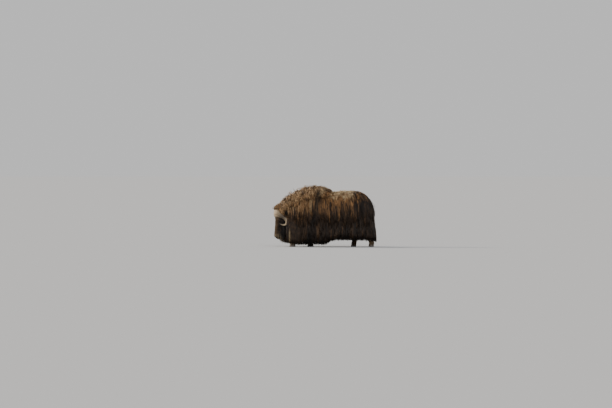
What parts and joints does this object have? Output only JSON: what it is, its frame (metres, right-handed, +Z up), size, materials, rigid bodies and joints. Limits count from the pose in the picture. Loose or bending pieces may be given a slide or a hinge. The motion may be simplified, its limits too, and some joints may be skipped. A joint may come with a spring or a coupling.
{
  "type": "muskox",
  "caption": "Life-size still model of a bull muskox in full coat, walking with its head held low, standing on its hooves.",
  "frame": {"origin": "on the ground under the middle of the animal's length and width", "axes": "+Z up; the animal faces -X; its left side is towards -Y"},
  "size_m": [2.3059, 0.8683, 1.3808],
  "materials": {
    "coat": "long dark brown guard hair, paler over the hump and saddle",
    "face_hair": "short dense hair, paler round the muzzle",
    "leg_hair": "short pale brown hair",
    "horn": "rough cream horn that darkens to smooth black tips",
    "hoof": "dark worn hoof horn",
    "eye": "wet, nearly black brown"
  },
  "bodies": {
    "root": {"leg_fore_left": "leg_hair", "hoof_fore_left_outer": "hoof", "hoof_fore_left_inner": "hoof", "leg_fore_right": "leg_hair", "hoof_fore_right_outer": "hoof", "hoof_fore_right_inner": "hoof", "leg_hind_left": "leg_hair", "hoof_hind_left_outer": "hoof", "hoof_hind_left_inner": "hoof", "leg_hind_right": "leg_hair", "hoof_hind_right_outer": "hoof", "hoof_hind_right_inner": "hoof", "horn_left": "horn", "eye_left": "eye", "ear_left": "face_hair", "horn_right": "horn", "eye_right": "eye", "ear_right": "face_hair", "head": "face_hair", "neck": "coat", "torso_left": "coat", "torso_right": "coat", "tail": "coat"}
  },
  "joints": []
}
